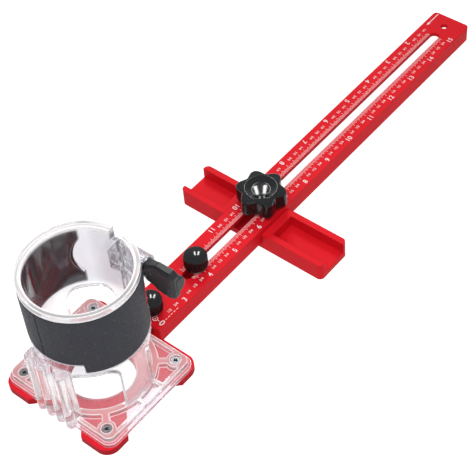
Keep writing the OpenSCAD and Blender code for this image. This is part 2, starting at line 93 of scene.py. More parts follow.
class NodeSheet:
    """One material's node tree, built by short calls."""

    NOISE_ROUGHNESS = 0.55
    FACING_SAMPLES = 8
    BUMP_SAMPLES = 6

    def __init__(self, name: str) -> None:
        """Start an empty tree with a surface shader and Object coordinates.

        Args:
            name: Name of the material.
        """
        self.material = bpy.data.materials.new(name)
        self.material.use_nodes = True
        self.tree = self.material.node_tree
        self.tree.nodes.clear()
        self.shader = self.add("BsdfPrincipled")
        self.output = self.add("OutputMaterial")
        self.link(self.shader.outputs["BSDF"], self.output.inputs["Surface"])
        self.coords = self.add("TexCoord")

    def add(self, kind: str, **inputs: object) -> bpy.types.Node:
        """Add a node and set its named inputs.

        Args:
            kind: Blender's type name of the node, without its first word.
            **inputs: Values for its sockets, with underscores for spaces.

        Returns:
            The new node.
        """
        node = self.tree.nodes.new("ShaderNode" + kind)
        for key, value in inputs.items():
            node.inputs[key.replace("_", " ")].default_value = value
        return node

    def link(self, source: Socket, target: Socket) -> None:
        """Join two sockets."""
        self.tree.links.new(source, target)

    def set(self, **inputs: object) -> None:
        """Set constant values on the surface shader's own sockets."""
        for key, value in inputs.items():
            self.shader.inputs[key.replace("_", " ")].default_value = value

    def drive(self, name: str, pattern: Socket) -> None:
        """Lead a pattern into a socket of the surface shader."""
        self.link(pattern, self.shader.inputs[name])

    def noise(self, cells: Pair, stretch: Place = (1.0, 1.0, 1.0)) -> Socket:
        """Add a noise pattern on the piece's own coordinates.

        Args:
            cells: Cells per metre, and octaves.
            stretch: Scale of each axis before the noise is read.

        Returns:
            The noise value socket.
        """
        place = self.add("Mapping", Scale=stretch)
        self.link(self.coords.outputs["Object"], place.inputs["Vector"])
        noise = self.add("TexNoise", Scale=cells[0], Detail=cells[1], Roughness=self.NOISE_ROUGHNESS)
        self.link(place.outputs["Vector"], noise.inputs["Vector"])
        return noise.outputs["Fac"]

    def spread(self, value: Socket, to: Pair, usual: Pair = (0.3, 0.7)) -> Socket:
        """Map a value's usual range onto another range.

        Args:
            value: Socket to map.
            to: Results at the two ends.
            usual: Values at the two ends.

        Returns:
            The mapped socket.
        """
        node = self.add("MapRange", From_Min=usual[0], From_Max=usual[1], To_Min=to[0], To_Max=to[1])
        self.link(value, node.inputs["Value"])
        return node.outputs["Result"]

    def ramp(self, factor: Socket, stops: list[tuple[float, Colour]]) -> Socket:
        """Run through a row of colours by a pattern.

        Args:
            factor: Pattern from 0 to 1.
            stops: Places on the pattern, in order, each with its linear colour.

        Returns:
            The colour socket.
        """
        ramp = self.add("ValToRGB")
        ends = ramp.color_ramp.elements
        for end, (place, colour) in zip((ends[0], ends[1]), (stops[0], stops[-1])):
            end.position = place
            end.color = (*colour, 1.0)
        for place, colour in stops[1:-1]:
            ends.new(place).color = (*colour, 1.0)
        self.link(factor, ramp.inputs["Fac"])
        return ramp.outputs["Color"]

    def combine(self, operation: str, *values: Socket, kind: str = "Math") -> Socket:
        """Combine values in a Math node, or vectors in a Vector Math node.

        Args:
            operation: Blender's name of the sum, such as MULTIPLY.
            *values: Sockets to combine, in order.
            kind: Type name of the node.

        Returns:
            The result's socket.
        """
        node = self.add(kind)
        node.operation = operation
        for value, target in zip(values, node.inputs):
            self.link(value, target)
        return node.outputs["Value"]

    def facing(self, radius_m: float) -> Socket:
        """Return a pattern that is 1 on open faces and falls towards sharp edges.

        It is the size of the dot product of the true normal and the normal rounded over a small radius.

        Args:
            radius_m: Radius of the rounding.

        Returns:
            The value socket.
        """
        bevel = self.add("Bevel", Radius=radius_m)
        bevel.samples = self.FACING_SAMPLES
        true = self.add("NewGeometry").outputs["Normal"]
        dot = self.combine("DOT_PRODUCT", bevel.outputs["Normal"], true, kind="VectorMath")
        return self.combine("ABSOLUTE", dot)

    def along(self, axis: str) -> Socket:
        """Return a point's place along one axis of the part, in metres.

        Args:
            axis: X, Y or Z.

        Returns:
            The value socket.
        """
        place = self.add("SeparateXYZ")
        self.link(self.coords.outputs["Object"], place.inputs["Vector"])
        return place.outputs[axis]

    def bump(self, height: Socket, relief: Pair, edge_mm: float = 0.0) -> None:
        """Raise the surface by a pattern, with edges eased first where a radius is given.

        Args:
            height: Pattern that raises the surface.
            relief: Share of the full effect, and height of the pattern in millimetres.
            edge_mm: Radius that sharp edges are shaded with.
        """
        bump = self.add("Bump", Strength=relief[0], Distance=relief[1] * MM)
        self.link(height, bump.inputs["Height"])
        if edge_mm > 0.0:
            edge = self.add("Bevel", Radius=edge_mm * MM)
            edge.samples = self.BUMP_SAMPLES
            self.link(edge.outputs["Normal"], bump.inputs["Normal"])
        self.drive("Normal", bump.outputs["Normal"])


@dataclass(frozen=True)
class Finish:
    """An opaque finish: a tone that drifts between two colours, and a fine grain in its gloss and its relief.

    A noise is given as cells per metre and octaves, and relief as a strength and millimetres. Without a
    drift, the grain sets the tone too. Where a top height is given, the face at that height is painted lit in
    the bright colour and the sides under it are painted in shade in the deep colour.
    """

    name: str
    deep: Colour
    bright: Colour
    roughness: Pair
    grain: Pair
    relief: Pair
    drift: Pair | None = None
    stretch: Place = (1.0, 1.0, 1.0)
    stops: Pair = UNIT
    edge_mm: float = 0.0
    metallic: float = 0.0
    shine: float = 0.5
    # Height of the face that is painted lit; the sides under it are painted in shade.
    top_m: float = 0.0
    top_fade_m: Pair = (0.0004, 0.0001)
    top_tone: Pair = (0.8, 1.0)

    def material(self) -> Material:
        """Build the finish.

        Returns:
            Its material.
        """
        sheet = NodeSheet(self.name)
        grain = sheet.noise(self.grain, self.stretch)
        tone = sheet.noise(self.drift) if self.drift else grain
        # Painted light and shade: the top face takes the bright colour and the sides under it the deep one.
        if self.top_m > 0.0:
            low, high = (self.top_m - fade for fade in self.top_fade_m)
            lit = sheet.spread(sheet.along("Z"), UNIT, (low, high))
            tone = sheet.combine("MULTIPLY", lit, sheet.spread(tone, self.top_tone))
        sheet.drive("Base Color", sheet.ramp(tone, list(zip(self.stops, (self.deep, self.bright)))))
        sheet.drive("Roughness", sheet.spread(grain, self.roughness))
        sheet.set(Metallic=self.metallic, Specular_IOR_Level=self.shine)
        sheet.bump(grain, self.relief, self.edge_mm)
        return sheet.material


@dataclass(frozen=True)
class Anodised(Finish):
    """Dyed anodised aluminium: satin metal with a fine blasted grain and slow changes of tone."""

    name: str = "red_anodised"
    deep: Colour = (0.54, 0.007, 0.014)
    bright: Colour = (0.68, 0.010, 0.019)
    roughness: Pair = (0.50, 0.62)
    grain: Pair = (2600.0, 2.0)
    relief: Pair = (0.12, 0.03)
    drift: Pair | None = (28.0, 2.0)
    edge_mm: float = 0.5
    metallic: float = 0.20
    shine: float = 0.08


@dataclass(frozen=True)
class MouldedBlack(Finish):
    """Black moulded plastic with a faint texture and a soft gloss."""

    name: str = "moulded_black"
    deep: Colour = (0.004, 0.005, 0.006)
    bright: Colour = (0.009, 0.010, 0.011)
    roughness: Pair = (0.06, 0.11)
    grain: Pair = (1500.0, 3.0)
    relief: Pair = (0.03, 0.05)
    drift: Pair | None = (90.0, 2.0)
    shine: float = 0.25


@dataclass(frozen=True)
class TurnedMetal(Finish):
    """Plated or turned metal with fine scratches."""

    roughness: Pair = (0.22, 0.40)
    grain: Pair = (1800.0, 3.0)
    relief: Pair = (0.10, 0.02)
    stretch: Place = (1.0, 1.0, 0.15)
    edge_mm: float = 0.2
    metallic: float = 1.0


@dataclass(frozen=True)
class ScreenPrint(Finish):
    """White printing ink, a little uneven where it lies on the metal."""

    name: str = "white_print"
    deep: Colour = (0.72, 0.64, 0.66)
    bright: Colour = (0.92, 0.91, 0.91)
    roughness: Pair = (0.45, 0.65)
    grain: Pair = (1400.0, 3.0)
    relief: Pair = (0.1, 0.01)
    stops: Pair = (0.3, 0.7)


@dataclass(frozen=True)
class Layer:
    """What the clear moulding is like at one height: its share of clearness and its tint."""

    height: float
    clear: float
    tint: Colour


@dataclass(frozen=True)
class ClearMoulding:
    """Clear moulded plastic: it bends and mirrors what is round it and lets the lamps through.

    From the ground up it has a clear floor tinted pink by painted red light from the plate, pale ribs, hazy
    walls, a clear lilac collar and a pale rim. The pale haze of ribs, walls and rim is painted white
    reflection. The collar is hazier round its split and sharp edges are pale, both painted highlights.
    """

    name: str = "clear_moulding"
    film: tuple[float, float, float, float] = (0.98, 0.975, 0.98, 1.0)
    index: float = 1.36
    # Pink tint of the clear floor: painted red light from the plate under it.
    glow: Colour = (0.990, 0.76, 0.835)
    pale: Colour = (0.985, 0.970, 0.980)
    lilac: Colour = (0.690, 0.682, 0.725)
    # Painted highlight: the collar turns hazier and paler round its split.
    split_haze: Pair = (0.0, 0.26)
    split_x_m: Pair = (0.029, 0.033)
    split_z_m: Pair = (0.050, 0.055)
    edge_m: float = 0.0018
    edge_facing: Pair = (0.80, 0.985)
    # Clearness at sharp edges is low, so they show pale: a painted edge highlight.
    edge_clear: Pair = (0.02, 1.0)
    roughness: Pair = (0.0, 0.02)
    ripple: Pair = (55.0, 2.0)
    relief: Pair = (0.10, 0.3)
    ease_mm: float = 0.4

    def layers(self) -> tuple[Layer, ...]:
        """Return the layers from the ground up."""
        # Lower clearness in a layer is a pale haze that paints white reflection; the floor's pink is painted
        # red light.
        return (
            Layer(0.0, 0.80, self.glow), Layer(8.2, 0.80, self.glow), Layer(8.7, 0.70, self.pale),
            Layer(12.0, 0.70, self.pale), Layer(14.0, 0.82, self.pale), Layer(48.0, 0.86, self.pale),
            Layer(55.0, 0.98, self.lilac), Layer(100.0, 0.98, self.lilac), Layer(102.5, 0.64, self.pale),
            Layer(106.0, 0.64, self.pale))

    def material(self) -> Material:
        """Build the finish.

        Rays that gather light pass straight through a film, and all other rays meet the moulded glass. The
        clearness of a point is its layer's, less the painted highlight of the split, times a share that is
        low at edges, which paints pale edge highlights.

        Returns:
            Its material.
        """
        sheet = NodeSheet(self.name)
        ripple = sheet.noise(self.ripple)
        layers = self.layers()
        top = layers[-1].height
        level = sheet.spread(sheet.along("Z"), UNIT, (0.0, top * MM))
        clear = sheet.ramp(level, [(layer.height / top, (layer.clear,) * 3) for layer in layers])
        # Painted highlight: the collar's clearness drops round its split.
        haze = sheet.combine("MULTIPLY", sheet.spread(sheet.along("X"), self.split_haze, self.split_x_m),
                             sheet.spread(sheet.along("Z"), UNIT, self.split_z_m))
        # Painted highlight: sharp edges lose their clearness and show pale.
        face = sheet.spread(sheet.facing(self.edge_m), self.edge_clear, self.edge_facing)
        clear = sheet.combine("MULTIPLY", sheet.combine("SUBTRACT", clear, haze), face)
        sheet.drive("Base Color", sheet.ramp(level, [(layer.height / top, layer.tint) for layer in layers]))
        sheet.drive("Roughness", sheet.spread(ripple, self.roughness))
        sheet.drive("Transmission Weight", clear)
        sheet.set(IOR=self.index)
        sheet.bump(ripple, self.relief, self.ease_mm)
        path = sheet.add("LightPath")
        gather = sheet.combine("MAXIMUM", path.outputs["Is Shadow Ray"], path.outputs["Is Diffuse Ray"])
        film = sheet.add("BsdfTransparent", Color=self.film)
        mix = sheet.add("MixShader")
        for source, target in zip((gather, sheet.shader.outputs["BSDF"], film.outputs["BSDF"]), mix.inputs):
            sheet.link(source, target)
        sheet.link(mix.outputs["Shader"], sheet.output.inputs["Surface"])
        return sheet.material


@dataclass(frozen=True)
class DottedRubber:
    """Charcoal rubber with a staggered grid of small raised dots on a dull ground, and a smooth back whose
    dark maroon is painted shade and painted red reflection.

    The back is told from the face by its distance from the collar's upright axis.
    """

    name: str = "dotted_rubber"
    # The inner back's dark maroon is painted shade with a painted red reflection from the plate.
    back: Colour = (0.008, 0.0012, 0.0015)
    ground: Colour = (0.032, 0.033, 0.041)
    dot: Colour = (0.062, 0.063, 0.070)
    ground_at: float = 0.6
    face_m: Pair = (0.0348, 0.0356)
    pitch_mm: float = 9.5
    stagger_deg: float = 45.0
    dot_edge: Pair = (0.035, 0.075)
    dust: Pair = (700.0, 4.0)
    roughness: Pair = (0.50, 0.72)
    back_share: float = 0.30
    shine: float = 0.2
    relief: Pair = (0.6, 0.3)

    def material(self) -> Material:
        """Build the finish.

        Returns:
            Its material.
        """
        sheet = NodeSheet(self.name)
        stagger = sheet.add("Mapping", Rotation=(0.0, 0.0, math.radians(self.stagger_deg)))
        sheet.link(sheet.coords.outputs["UV"], stagger.inputs["Vector"])
        cells = sheet.add("TexVoronoi", Scale=1.0 / (self.pitch_mm * MM), Randomness=0.0)
        sheet.link(stagger.outputs["Vector"], cells.inputs["Vector"])
        dots = sheet.spread(cells.outputs["Distance"], (1.0, 0.0), self.dot_edge)
        level = sheet.add("Mapping", Scale=(1.0, 1.0, 0.0))
        sheet.link(sheet.coords.outputs["Object"], level.inputs["Vector"])
        reach = sheet.combine("LENGTH", level.outputs["Vector"], kind="VectorMath")
        face = sheet.spread(reach, UNIT, self.face_m)
        tone = sheet.combine("MULTIPLY", face, sheet.spread(dots, (self.ground_at, 1.0), UNIT))
        # The back's stop is painted shade and red reflection; the face takes the ground and the dots.
        stops = [(0.0, self.back), (self.ground_at, self.ground), (1.0, self.dot)]
        sheet.drive("Base Color", sheet.ramp(tone, stops))
        dust = sheet.spread(sheet.noise(self.dust), self.roughness)
        smooth = sheet.spread(face, (self.back_share, 1.0), UNIT)
        sheet.drive("Roughness", sheet.combine("MULTIPLY", dust, smooth))
        sheet.set(Specular_IOR_Level=self.shine)
        sheet.bump(dots, self.relief)
        return sheet.material


@dataclass(frozen=True)
class PaleFloor:
    """The plain pale ground, lit like a light table, with little light thrown up on the part."""

    name: str = "pale_floor"
    tones: Pair = (0.31, 0.33)
    drift: Pair = (3.0, 1.0)
    glow_and_bounce: Pair = (0.94, 0.28)
    roughness: float = 0.9
    shine: float = 0.1

    def material(self) -> Material:
        """Build the finish.

        Returns:
            Its material.
        """
        sheet = NodeSheet(self.name)
        stops = [(place, (tone,) * 3) for place, tone in zip(UNIT, self.tones)]
        sheet.drive("Base Color", sheet.ramp(sheet.noise(self.drift), stops))
        path = sheet.add("LightPath")
        light = sheet.spread(path.outputs["Is Diffuse Ray"], self.glow_and_bounce, UNIT)
        sheet.drive("Emission Strength", light)
        sheet.set(Roughness=self.roughness, Specular_IOR_Level=self.shine, Emission_Color=WHITE)
        return sheet.material


def surface(name: str, points: np.ndarray, sharp_deg: float, uv: np.ndarray | None = None,
            close: bool = True) -> Piece:
    """Make a mesh object from a grid of points.

    Neighbouring points of the grid are joined by quads. Points that meet at a seam or a pole are merged, so
    a grid whose last column repeats its first, and whose end rows shrink to a point, becomes a closed skin.

    Args:
        name: Name of the piece.
        points: Array of shape (rows, columns, 3) in millimetres.
        sharp_deg: Edges that turn more than this stay sharp.
        uv: Optional array of shape (rows, columns, 2) for the UV map.
        close: Merge seams and poles, and turn the faces outwards.

    Returns:
        The new object, at the origin.
    """
    rows, columns = points.shape[:2]
    index = np.arange(rows * columns).reshape(rows, columns)
    quads = np.stack([index[:-1, :-1], index[1:, :-1], index[1:, 1:], index[:-1, 1:]], -1).reshape(-1, 4)
    piece = skin(name, points.reshape(-1, 3), quads)
    mesh = piece.data
    if uv is not None:
        layer = mesh.uv_layers.new(name="skin")
        layer.data.foreach_set("uv", uv.reshape(-1, 2)[quads.reshape(-1)].astype(np.float32).ravel())
    if close:
        seal(mesh)
    mesh.shade_smooth()
    mesh.set_sharp_from_angle(angle=math.radians(sharp_deg))
    return piece


def skin(name: str, points: np.ndarray, faces: np.ndarray) -> Piece:
    """Put points and faces into the scene as an object at the origin.

    Args:
        name: Name of the piece.
        points: Array of shape (n, 3) in millimetres.
        faces: Index array with three or four columns.

    Returns:
        The new object.
    """
    mesh = bpy.data.meshes.new(name)
    mesh.from_pydata((points * MM).tolist(), [], faces.tolist())
    piece = bpy.data.objects.new(name, mesh)
    bpy.context.scene.collection.objects.link(piece)
    return piece


def seal(mesh: bpy.types.Mesh) -> None:
    """Merge doubled points, drop flat faces and turn the faces of a mesh outwards.

    Args:
        mesh: Mesh to mend in place.
    """
    work = bmesh.new()
    work.from_mesh(mesh)
    bmesh.ops.remove_doubles(work, verts=work.verts, dist=MERGE_M)
    bmesh.ops.dissolve_degenerate(work, dist=FLAT_M, edges=work.edges)
    bmesh.ops.recalc_face_normals(work, faces=work.faces)
    work.to_mesh(mesh)
    work.free()


def fasten(piece: Piece, body: str, material: Material, stands_for: tuple[str, ...] = ()) -> None:
    """Give a piece its material and body, and hide the nodes that it replaces.

    Args:
        piece: The finished piece.
        body: Body that it rides on.
        material: Finish of the piece.
        stands_for: Nodes that it replaces.
    """
    piece.data.materials.clear()
    piece.data.materials.append(material)
    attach(piece, body)
    if stands_for:
        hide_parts(*stands_for)
    LOG.info("piece %s on %s: %d faces", piece.name, body, len(piece.data.polygons))


def dress(material: Material, *nodes: str) -> None:
    """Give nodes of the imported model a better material.

    Args:
        material: Finish of the nodes.
        *nodes: Names of the nodes.
    """
    for node in nodes:
        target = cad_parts[node]
        target.data.materials.clear()
        target.data.materials.append(material)
        LOG.info("node %s dressed with %s", node, material.name)


def smooth_step(value: np.ndarray, low: float, high: float) -> np.ndarray:
    """Return 0 below low, 1 above high and an S-shaped rise between them."""
    t = np.clip((value - low) / (high - low), 0.0, 1.0)
    return t * t * (3.0 - 2.0 * t)


def resample(corners: np.ndarray, count: int) -> np.ndarray:
    """Return points at equal steps along a polyline, keeping both ends.

    Args:
        corners: Array of shape (n, 2).
        count: Number of points.

    Returns:
        Array of shape (count, 2).
    """
    run = np.concatenate([[0.0], np.cumsum(np.linalg.norm(np.diff(corners, axis=0), axis=1))])
    at = np.linspace(0.0, run[-1], count)
    return np.stack([np.interp(at, run, corners[:, 0]), np.interp(at, run, corners[:, 1])], -1)


def eased(radius: float, level: float, steps: Steps) -> np.ndarray:
    """Return an eased corner of a profile: the radius less each inset, and the level plus each rise.

    Args:
        radius: Radius of the corner.
        level: Height of the corner.
        steps: Inset and rise of each point, in order.

    Returns:
        Array of shape (n, 2), read as (radius, height).
    """
    return np.array([radius, level]) + np.array(steps) * np.array([-1.0, 1.0])


@dataclass
class RouterBase:
    """The red plate with the clear split collar on it, and its screws."""

    plate: Material
    clear: Material
    steel: Material
    dark_steel: Material

    def build(self) -> None:
        """Dress the nodes of the base."""
        dress(self.plate, "base_plate")
        dress(self.clear, "router_base")
        dress(self.dark_steel, "corner_screws")
        dress(self.steel, "clamp_nut")


@dataclass
class GripSleeves:
    """Two dotted rubber sleeves let into the collar, which meet at a seam on the side away from the arm."""

    rubber: Material
    outer_r: float = 36.65
    inner_r: float = 34.6
    low: float = 54.1
    top: float = 101.4
    step_h: float = 7.5
    step_deg: float = 140.0
    step_half_deg: float = 0.5
    seam_deg: float = 179.45
    end_deg: float = 45.15
    bite_deg: float = 9.0
    bite_r: float = 24.0
    crowding: float = 1.6
    squareness: float = 40.0
    section_points: int = 48
    rows: int = 260
    sharp_deg: float = 50.0

    def section(self) -> np.ndarray:
        """Return a closed rounded section.

        A superellipse of high power in the unit square, read as (depth, height), and even in height so that
        its inner and outer halves have the same levels.

        Returns:
            Array of shape (2 * points - 1, 2), whose last point repeats the first.
        """
        lift = np.linspace(-1.0, 1.0, self.section_points)
        lift = np.sign(lift) * (1.0 - (1.0 - np.abs(lift)) ** self.crowding)
        bulge = np.sqrt(np.maximum(1.0 - np.abs(lift) ** self.squareness, 0.0))
        out = np.stack([bulge, lift], -1)
        back = np.stack([-bulge, lift], -1)[::-1]
        return np.concatenate([out, back[1:]])

    def build(self, side: Side) -> None:
        """Build one sleeve.

        The section runs round the collar from the seam to the end. Its lower edge drops at the step, and its
        end is hollowed by a circle seen along the radius: angle = seam + share * (end(height) - seam).

        Args:
            side: Side of the arm that the sleeve is on.
        """
        section = self.section()
        share = np.concatenate([[0.0], np.linspace(0.0, 1.0, self.rows), [1.0]])
        squeeze = np.ones_like(share)
        squeeze[[0, -1]] = 0.0
        rough = self.seam_deg + share * (self.end_deg - self.seam_deg)
        step = smooth_step(rough, self.step_deg - self.step_half_deg, self.step_deg + self.step_half_deg)
        foot = self.low + self.step_h * step
        middle, half = (self.top + foot) / 2.0, (self.top - foot) / 2.0
        height = middle[:, None] + half[:, None] * section[None, :, 1]
        from_middle = np.clip(np.abs(height - (self.low + self.top) / 2.0), 0.0, self.bite_r)
        chord = np.degrees(np.sqrt(self.bite_r ** 2 - from_middle ** 2) / self.outer_r)
        reach = np.degrees(self.bite_r / self.outer_r) - self.bite_deg
        end = self.end_deg + np.maximum(chord - reach, 0.0)
        angle = np.radians(self.seam_deg + share[:, None] * (end - self.seam_deg))
        depth = (self.outer_r - self.inner_r) / 2.0
        radius = (self.outer_r + self.inner_r) / 2.0 + depth * squeeze[:, None] * section[None, :, 0]
        points = np.stack([radius * np.cos(angle), side.value * radius * np.sin(angle), height], -1)
        uv = np.stack([angle * self.outer_r * MM, height * MM], -1)
        word = side.name.lower()
        piece = surface(f"grip_sleeve_{word}", points, self.sharp_deg, uv)
        fasten(piece, "base", self.rubber, (f"grip_{word}",))


@dataclass
class WingKnob:
    """The black bevelled paddle of the collar clamp, with a thumb dish in its front and a hub at its back."""

    black: Material
    steel: Material
    axis_x: float = 41.5
    start: float = 12.2
    axis_z: float = 75.0
    length: float = 24.8
    half_h: float = 11.4
    neck_h: float = 5.6
    taper_l: float = 10.6
    corner: float = 2.6
    outline_points: int = 240
    rounds: int = 6
    front_t: float = 4.4
    back_t: float = 2.4
    bevel_w: float = 2.2
    bevel_h: float = 1.7
    back_bevel_h: float = 1.36
    dish_l: float = 12.4
    dish_r: float = 10.0
    dish_h: float = 2.1
    dish_rise: float = 1.6
    dish_floor: float = 0.4
    core: float = 0.7
    core_rows: int = 22
    edge_rows: int = 30
    sharp_deg: float = 20.0
    hub_r: float = 6.2
    hub_past: float = 0.3
    hub_near: Steps = ((0.8, 0.0), (0.2, 0.2), (0.0, 0.8))
    hub_far: Steps = ((0.0, -1.2), (0.3, -0.4), (1.1, 0.0))
    hub_rows: int = 80
    hub_columns: int = 97
    hub_flat: float = -0.25
    hub_sharp_deg: float = 50.0

    def outline(self) -> np.ndarray:
        """Return the closed outline of the paddle in its own plane, read as (along the screw, up).

        It widens from the lug end, runs straight and has its outer corners cut. Each point is then averaged
        with its neighbours a few times, which rounds the corners.

        Returns:
            Array of shape (points, 2), whose last point repeats the first.
        """
        upper = np.array([[0.0, self.neck_h], [self.taper_l, self.half_h],
                          [self.length - self.corner, self.half_h], [self.length, self.half_h - self.corner]])
        lower = upper[::-1] * np.array([1.0, -1.0])
        ring = resample(np.concatenate([upper, lower, upper[:1]]), self.outline_points)[:-1]
        for _ in range(self.rounds):
            ring = (np.roll(ring, 1, 0) + 2.0 * ring + np.roll(ring, -1, 0)) / 4.0
        return np.concatenate([ring, ring[:1]])

    def build(self) -> None:
        """Build the knob and dress its screw and washer.

        Each row is the outline shrunk towards the centre of the dish. The front falls in a bevel near the
        outline and sinks to a bowl in the middle: t = front - bevel(edge distance) - bowl(r), where the bowl
        rises steeply with 1 - (r / dish radius)^2 at its border and gently on its floor.
        """
        middle = np.array([self.dish_l, 0.0])
        spoke = self.outline() - middle
        core = np.linspace(0.0, self.core, self.core_rows)
        share = np.concatenate([core, np.linspace(self.core, 1.0, self.edge_rows)[1:]])[:, None]
        away = np.linalg.norm(spoke, axis=1)[None, :]
        spot = middle + share[..., None] * spoke[None]
        near_edge = np.clip(1.0 - (1.0 - share) * away / self.bevel_w, 0.0, 1.0)
        depth = np.clip(1.0 - (share * away / self.dish_r) ** 2, 0.0, 1.0)
        bowl = np.minimum(self.dish_rise * depth, self.dish_floor + (1.0 - self.dish_floor) * depth)
        front_t = self.front_t - self.bevel_h * near_edge - self.dish_h * bowl
        back_t = self.back_t - self.back_bevel_h * near_edge
        y, z = -self.start - spot[..., 0], self.axis_z + spot[..., 1]
        front = np.stack([self.axis_x - front_t, y, z], -1)
        back = np.stack([self.axis_x + back_t, y, z], -1)[::-1]
        piece = surface("wing_paddle", np.concatenate([front, back]), self.sharp_deg)
        fasten(piece, "clamp_handle", self.black, ("wing_knob",))
        dress(self.steel, "wing_screw", "clamp_washer")
        self.hub()

    def hub(self) -> None:
        """Build the round hub at the back of the paddle.

        A profile of radius and distance is turned round the screw, and its front half is flattened to stay
        inside the paddle: x = axis + radius * max(cos(angle), a low limit).
        """
        end = self.length + self.hub_past
        corners = [[[0.0, 0.0]], eased(self.hub_r, 0.0, self.hub_near), eased(self.hub_r, end, self.hub_far)]
        profile = resample(np.concatenate([*corners, [[0.0, end]]]), self.hub_rows)
        angle = np.linspace(0.0, FULL_TURN, self.hub_columns)
        radius = profile[:, 0, None]
        across = radius * np.maximum(np.cos(angle), self.hub_flat)
        along = -self.start - np.repeat(profile[:, 1, None], len(angle), 1)
        points = np.stack([self.axis_x + across, along, self.axis_z + radius * np.sin(angle)], -1)
        piece = surface("wing_hub", points, self.hub_sharp_deg)
        fasten(piece, "clamp_handle", self.black)


@dataclass
class KnurledKnob:
    """A round black knob with a fine upright knurl and a domed top, on its stud and washer."""

    black: Material
    steel: Material
    word: str
    axis_x: float
    foot_z: float = 18.2
    radius: float = 8.0
    crown: float = 7.0
    height: float = 11.0
    dome_h: float = 1.0
    dome_rows: int = 24
    foot_ease: Steps = ((0.5, 0.0), (0.0, 0.4), (0.0, 1.0))
    skirt_ease: Steps = ((0.3, 1.05), (0.0, 1.4))
    lip_ease: Steps = ((0.0, -0.9), (0.2, -0.4), (0.55, -0.1))
    body_rows: int = 60
    ridges: int = 40
    ridge_columns: int = 10
    groove: float = 0.45
    groove_low: Pair = (1.0, 1.5)
    groove_top: Pair = (0.9, 0.1)
    sharp_deg: float = 60.0

    def build(self) -> None:
        """Build the knob and dress its stud and washer.

        A profile that ends in a dome, lip + dome height * (1 - share^2), is turned round the axis, and on the
        skirt the radius dips between the ridges:
        r = profile - groove * band(z) * (1 - cos(ridges * angle)) / 2.
        """
        lip = self.height - self.dome_h
        share = 1.0 - np.linspace(0.0, 1.0, self.dome_rows)[1:]
        dome = np.stack([self.crown * share, lip + self.dome_h * (1.0 - share ** 2)], -1)
        corners = [eased(self.crown, 0.0, self.foot_ease), eased(self.radius, 0.0, self.skirt_ease),
                   eased(self.radius, lip, self.lip_ease)]
        body = np.concatenate([[[0.0, 0.0]], *corners, [[self.crown, lip]]])
        profile = np.concatenate([resample(body, self.body_rows), dome])
        start, end = (lip - drop for drop in self.groove_top)
        band = smooth_step(profile[:, 1], *self.groove_low) * (1.0 - smooth_step(profile[:, 1], start, end))
        angle = np.linspace(0.0, FULL_TURN, self.ridges * self.ridge_columns + 1)
        dip = self.groove * band[:, None] * (1.0 - np.cos(self.ridges * angle))[None, :] / 2.0
        radius = profile[:, None, 0] - dip
        level = np.repeat(self.foot_z + profile[:, 1, None], len(angle), 1)
        points = np.stack([self.axis_x + radius * np.cos(angle), radius * np.sin(angle), level], -1)
        piece = surface(f"{self.word}_knurled_knob", points, self.sharp_deg)
        fasten(piece, f"{self.word}_handle", self.black, (f"{self.word}_knob",))
        dress(self.steel, f"{self.word}_stud", f"{self.word}_washer")


